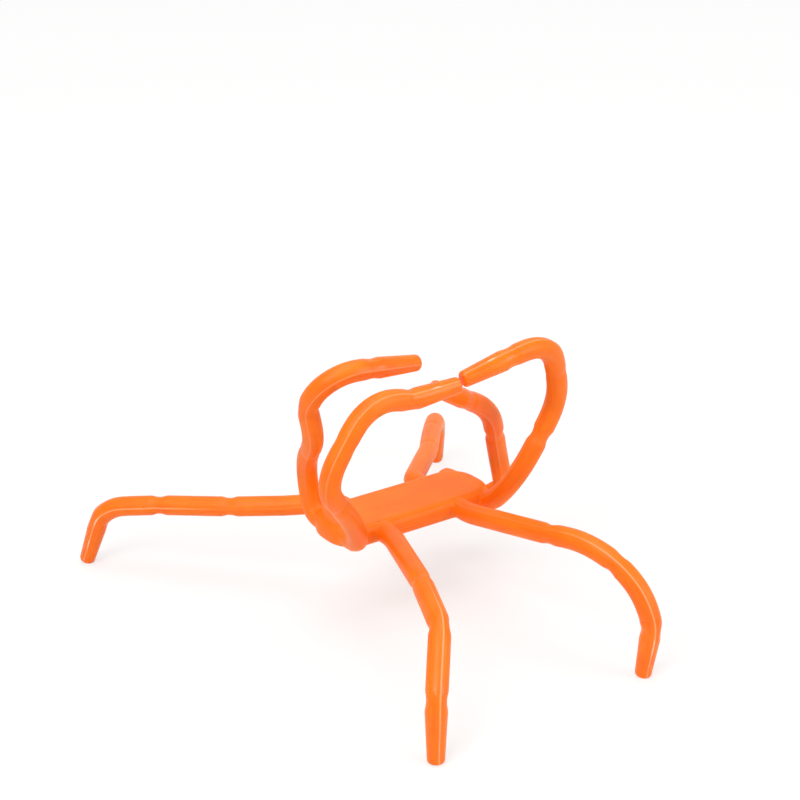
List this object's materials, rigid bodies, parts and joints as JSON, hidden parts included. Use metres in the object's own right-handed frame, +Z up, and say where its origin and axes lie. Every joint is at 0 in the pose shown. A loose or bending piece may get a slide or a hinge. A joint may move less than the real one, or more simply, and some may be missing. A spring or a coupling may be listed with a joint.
{
  "type": "flexible phone stand",
  "caption": "Bendable soft-plastic stand: a flat pill-shaped hub carries jointed legs, the outer ones bent up as grips that hold a device upright, the inner ones bent down as feet.",
  "frame": {"origin": "middle of the hub's top face", "axes": "+Z up, +Y to the back of the stand (the side the held device leans to), +X to the user's right"},
  "size_m": [0.1264, 0.1443, 0.0795],
  "materials": {
    "orange_plastic": "satin soft plastic",
    "wire_steel": "drawn wire"
  },
  "bodies": {
    "hub": {"hub": "orange_plastic", "right_grip_wire": "wire_steel", "right_foot_wire": "wire_steel", "left_grip_wire": "wire_steel", "left_foot_wire": "wire_steel"},
    "back_right_foot_thigh": {"back_right_foot_thigh": "orange_plastic"},
    "back_right_foot_knee": {"back_right_foot_knee": "orange_plastic"},
    "back_right_foot_shin": {"back_right_foot_shin": "orange_plastic"},
    "back_right_foot_tip": {"back_right_foot_tip": "orange_plastic"},
    "back_right_grip_base": {"back_right_grip_base": "orange_plastic"},
    "back_right_grip_side": {"back_right_grip_side": "orange_plastic"},
    "back_right_grip_crown": {"back_right_grip_crown": "orange_plastic"},
    "back_right_grip_tip": {"back_right_grip_tip": "orange_plastic"},
    "back_left_foot_thigh": {"back_left_foot_thigh": "orange_plastic"},
    "back_left_foot_knee": {"back_left_foot_knee": "orange_plastic"},
    "back_left_foot_shin": {"back_left_foot_shin": "orange_plastic"},
    "back_left_foot_tip": {"back_left_foot_tip": "orange_plastic"},
    "back_left_grip_base": {"back_left_grip_base": "orange_plastic"},
    "back_left_grip_side": {"back_left_grip_side": "orange_plastic"},
    "back_left_grip_crown": {"back_left_grip_crown": "orange_plastic"},
    "back_left_grip_tip": {"back_left_grip_tip": "orange_plastic"},
    "front_right_foot_thigh": {"front_right_foot_thigh": "orange_plastic"},
    "front_right_foot_knee": {"front_right_foot_knee": "orange_plastic"},
    "front_right_foot_shin": {"front_right_foot_shin": "orange_plastic"},
    "front_right_foot_tip": {"front_right_foot_tip": "orange_plastic"},
    "front_right_grip_base": {"front_right_grip_base": "orange_plastic"},
    "front_right_grip_side": {"front_right_grip_side": "orange_plastic"},
    "front_right_grip_crown": {"front_right_grip_crown": "orange_plastic"},
    "front_right_grip_tip": {"front_right_grip_tip": "orange_plastic"},
    "front_left_foot_thigh": {"front_left_foot_thigh": "orange_plastic"},
    "front_left_foot_knee": {"front_left_foot_knee": "orange_plastic"},
    "front_left_foot_shin": {"front_left_foot_shin": "orange_plastic"},
    "front_left_foot_tip": {"front_left_foot_tip": "orange_plastic"},
    "front_left_grip_base": {"front_left_grip_base": "orange_plastic"},
    "front_left_grip_side": {"front_left_grip_side": "orange_plastic"},
    "front_left_grip_crown": {"front_left_grip_crown": "orange_plastic"},
    "front_left_grip_tip": {"front_left_grip_tip": "orange_plastic"}
  },
  "joints": [
    {"name": "back_right_foot_root", "type": "hinge", "parent": "hub", "child": "back_right_foot_thigh", "pos_m": [0.0125, 0.013, -0.003], "axis": [0.9297, -0.3682, 0], "range_deg": [-25, 25], "deforming": ["right_foot_wire"]},
    {"name": "back_right_foot_neck_1", "type": "hinge", "parent": "back_right_foot_thigh", "child": "back_right_foot_knee", "pos_m": [0.0237, 0.04128, -0.00069], "axis": [0.9149, -0.4036, 0], "range_deg": [-60, 40], "deforming": ["right_foot_wire"]},
    {"name": "back_right_foot_neck_2", "type": "hinge", "parent": "back_right_foot_knee", "child": "back_right_foot_shin", "pos_m": [0.03209, 0.0603, -0.00131], "axis": [0.7687, -0.6397, 0], "range_deg": [-25, 60], "deforming": ["right_foot_wire"]},
    {"name": "back_right_foot_neck_3", "type": "hinge", "parent": "back_right_foot_shin", "child": "back_right_foot_tip", "pos_m": [0.04052, 0.07043, -0.01386], "axis": [0.7687, -0.6397, 0], "range_deg": [-20, 60], "deforming": ["right_foot_wire"]},
    {"name": "back_right_grip_root", "type": "hinge", "parent": "hub", "child": "back_right_grip_base", "pos_m": [0.0217, 0.0107, -0.003], "axis": [1, 0, 0], "range_deg": [-45, 4], "deforming": ["right_grip_wire"]},
    {"name": "back_right_grip_neck_1", "type": "hinge", "parent": "back_right_grip_base", "child": "back_right_grip_side", "pos_m": [0.03525, 0.02192, 0.01603], "axis": [0, -0.9352, 0.3541], "range_deg": [-40, 0], "deforming": ["right_grip_wire"]},
    {"name": "back_right_grip_neck_2", "type": "hinge", "parent": "back_right_grip_side", "child": "back_right_grip_crown", "pos_m": [0.03589, 0.02652, 0.03382], "axis": [0, -0.9352, 0.3541], "range_deg": [-60, 0], "deforming": ["right_grip_wire"]},
    {"name": "back_right_grip_neck_3", "type": "hinge", "parent": "back_right_grip_crown", "child": "back_right_grip_tip", "pos_m": [0.01666, 0.026, 0.04069], "axis": [0, -0.9352, 0.3541], "range_deg": [-50, 8], "deforming": ["right_grip_wire"]},
    {"name": "back_left_foot_root", "type": "hinge", "parent": "hub", "child": "back_left_foot_thigh", "pos_m": [-0.0125, 0.013, -0.003], "axis": [0.9945, 0.1046, 0], "range_deg": [-25, 25], "deforming": ["left_foot_wire"]},
    {"name": "back_left_foot_neck_1", "type": "hinge", "parent": "back_left_foot_thigh", "child": "back_left_foot_knee", "pos_m": [-0.01565, 0.04294, 0.00188], "axis": [0.9722, 0.2341, 0], "range_deg": [-60, 40], "deforming": ["left_foot_wire"]},
    {"name": "back_left_foot_neck_2", "type": "hinge", "parent": "back_left_foot_knee", "child": "back_left_foot_shin", "pos_m": [-0.02044, 0.06283, 0.00063], "axis": [0.8967, 0.4426, 0], "range_deg": [-25, 60], "deforming": ["left_foot_wire"]},
    {"name": "back_left_foot_neck_3", "type": "hinge", "parent": "back_left_foot_shin", "child": "back_left_foot_tip", "pos_m": [-0.02503, 0.07213, -0.01388], "axis": [0.8967, 0.4426, 0], "range_deg": [-20, 60], "deforming": ["left_foot_wire"]},
    {"name": "back_left_grip_root", "type": "hinge", "parent": "hub", "child": "back_left_grip_base", "pos_m": [-0.0217, 0.0107, -0.003], "axis": [1, 0, 0], "range_deg": [-45, 4], "deforming": ["left_grip_wire"]},
    {"name": "back_left_grip_neck_1", "type": "hinge", "parent": "back_left_grip_base", "child": "back_left_grip_side", "pos_m": [-0.02949, 0.02108, 0.01831], "axis": [0, 0.9352, -0.3541], "range_deg": [-40, 0], "deforming": ["left_grip_wire"]},
    {"name": "back_left_grip_neck_2", "type": "hinge", "parent": "back_left_grip_side", "child": "back_left_grip_crown", "pos_m": [-0.03079, 0.02513, 0.0375], "axis": [0, 0.9352, -0.3541], "range_deg": [-60, 0], "deforming": ["left_grip_wire"]},
    {"name": "back_left_grip_neck_3", "type": "hinge", "parent": "back_left_grip_crown", "child": "back_left_grip_tip", "pos_m": [-0.0131, 0.02805, 0.04615], "axis": [0, 0.9352, -0.3541], "range_deg": [-50, 8], "deforming": ["left_grip_wire"]},
    {"name": "front_right_foot_root", "type": "hinge", "parent": "hub", "child": "front_right_foot_thigh", "pos_m": [0.0125, -0.013, -0.003], "axis": [-0.7119, -0.7023, 0], "range_deg": [-25, 25], "deforming": ["right_foot_wire"]},
    {"name": "front_right_foot_neck_1", "type": "hinge", "parent": "front_right_foot_thigh", "child": "front_right_foot_knee", "pos_m": [0.03375, -0.03454, -0.00684], "axis": [-0.7795, -0.6263, 0], "range_deg": [-60, 40], "deforming": ["right_foot_wire"]},
    {"name": "front_right_foot_neck_2", "type": "hinge", "parent": "front_right_foot_knee", "child": "front_right_foot_shin", "pos_m": [0.04667, -0.05062, -0.00948], "axis": [-0.7555, -0.6552, 0], "range_deg": [-25, 60], "deforming": ["right_foot_wire"]},
    {"name": "front_right_foot_neck_3", "type": "hinge", "parent": "front_right_foot_shin", "child": "front_right_foot_tip", "pos_m": [0.0579, -0.06357, -0.01446], "axis": [-0.7555, -0.6552, 0], "range_deg": [-20, 60], "deforming": ["right_foot_wire"]},
    {"name": "front_right_grip_root", "type": "hinge", "parent": "hub", "child": "front_right_grip_base", "pos_m": [0.0217, -0.0107, -0.003], "axis": [-1, 0, 0], "range_deg": [-45, 2], "deforming": ["right_grip_wire"]},
    {"name": "front_right_grip_neck_1", "type": "hinge", "parent": "front_right_grip_base", "child": "front_right_grip_side", "pos_m": [0.02687, -0.00362, 0.01941], "axis": [0, -0.9352, 0.3541], "range_deg": [-40, 3], "deforming": ["right_grip_wire"]},
    {"name": "front_right_grip_neck_2", "type": "hinge", "parent": "front_right_grip_side", "child": "front_right_grip_crown", "pos_m": [0.03352, 0.00582, 0.03619], "axis": [0, -0.9352, 0.3541], "range_deg": [-60, 3], "deforming": ["right_grip_wire"]},
    {"name": "front_right_grip_neck_3", "type": "hinge", "parent": "front_right_grip_crown", "child": "front_right_grip_tip", "pos_m": [0.01925, 0.01331, 0.04569], "axis": [0, -0.9352, 0.3541], "range_deg": [-50, 8], "deforming": ["right_grip_wire"]},
    {"name": "front_left_foot_root", "type": "hinge", "parent": "hub", "child": "front_left_foot_thigh", "pos_m": [-0.0125, -0.013, -0.003], "axis": [-0.7119, 0.7023, 0], "range_deg": [-25, 25], "deforming": ["left_foot_wire"]},
    {"name": "front_left_foot_neck_1", "type": "hinge", "parent": "front_left_foot_thigh", "child": "front_left_foot_knee", "pos_m": [-0.03375, -0.03454, -0.00684], "axis": [-0.7795, 0.6263, 0], "range_deg": [-60, 40], "deforming": ["left_foot_wire"]},
    {"name": "front_left_foot_neck_2", "type": "hinge", "parent": "front_left_foot_knee", "child": "front_left_foot_shin", "pos_m": [-0.04667, -0.05062, -0.00948], "axis": [-0.7555, 0.6552, 0], "range_deg": [-25, 60], "deforming": ["left_foot_wire"]},
    {"name": "front_left_foot_neck_3", "type": "hinge", "parent": "front_left_foot_shin", "child": "front_left_foot_tip", "pos_m": [-0.0579, -0.06357, -0.01446], "axis": [-0.7555, 0.6552, 0], "range_deg": [-20, 60], "deforming": ["left_foot_wire"]},
    {"name": "front_left_grip_root", "type": "hinge", "parent": "hub", "child": "front_left_grip_base", "pos_m": [-0.0217, -0.0107, -0.003], "axis": [-1, 0, 0], "range_deg": [-22, 2], "deforming": ["left_grip_wire"]},
    {"name": "front_left_grip_neck_1", "type": "hinge", "parent": "front_left_grip_base", "child": "front_left_grip_side", "pos_m": [-0.03788, -0.00403, -0.00807], "axis": [0, 0.9352, -0.3541], "range_deg": [-40, 3], "deforming": ["left_grip_wire"]},
    {"name": "front_left_grip_neck_2", "type": "hinge", "parent": "front_left_grip_side", "child": "front_left_grip_crown", "pos_m": [-0.03117, -0.00035, 0.01116], "axis": [0, 0.9352, -0.3541], "range_deg": [-60, 3], "deforming": ["left_grip_wire"]},
    {"name": "front_left_grip_neck_3", "type": "hinge", "parent": "front_left_grip_crown", "child": "front_left_grip_tip", "pos_m": [-0.01633, 0.00606, 0.02666], "axis": [0, 0.9352, -0.3541], "range_deg": [-50, 8], "deforming": ["left_grip_wire"]}
  ]
}
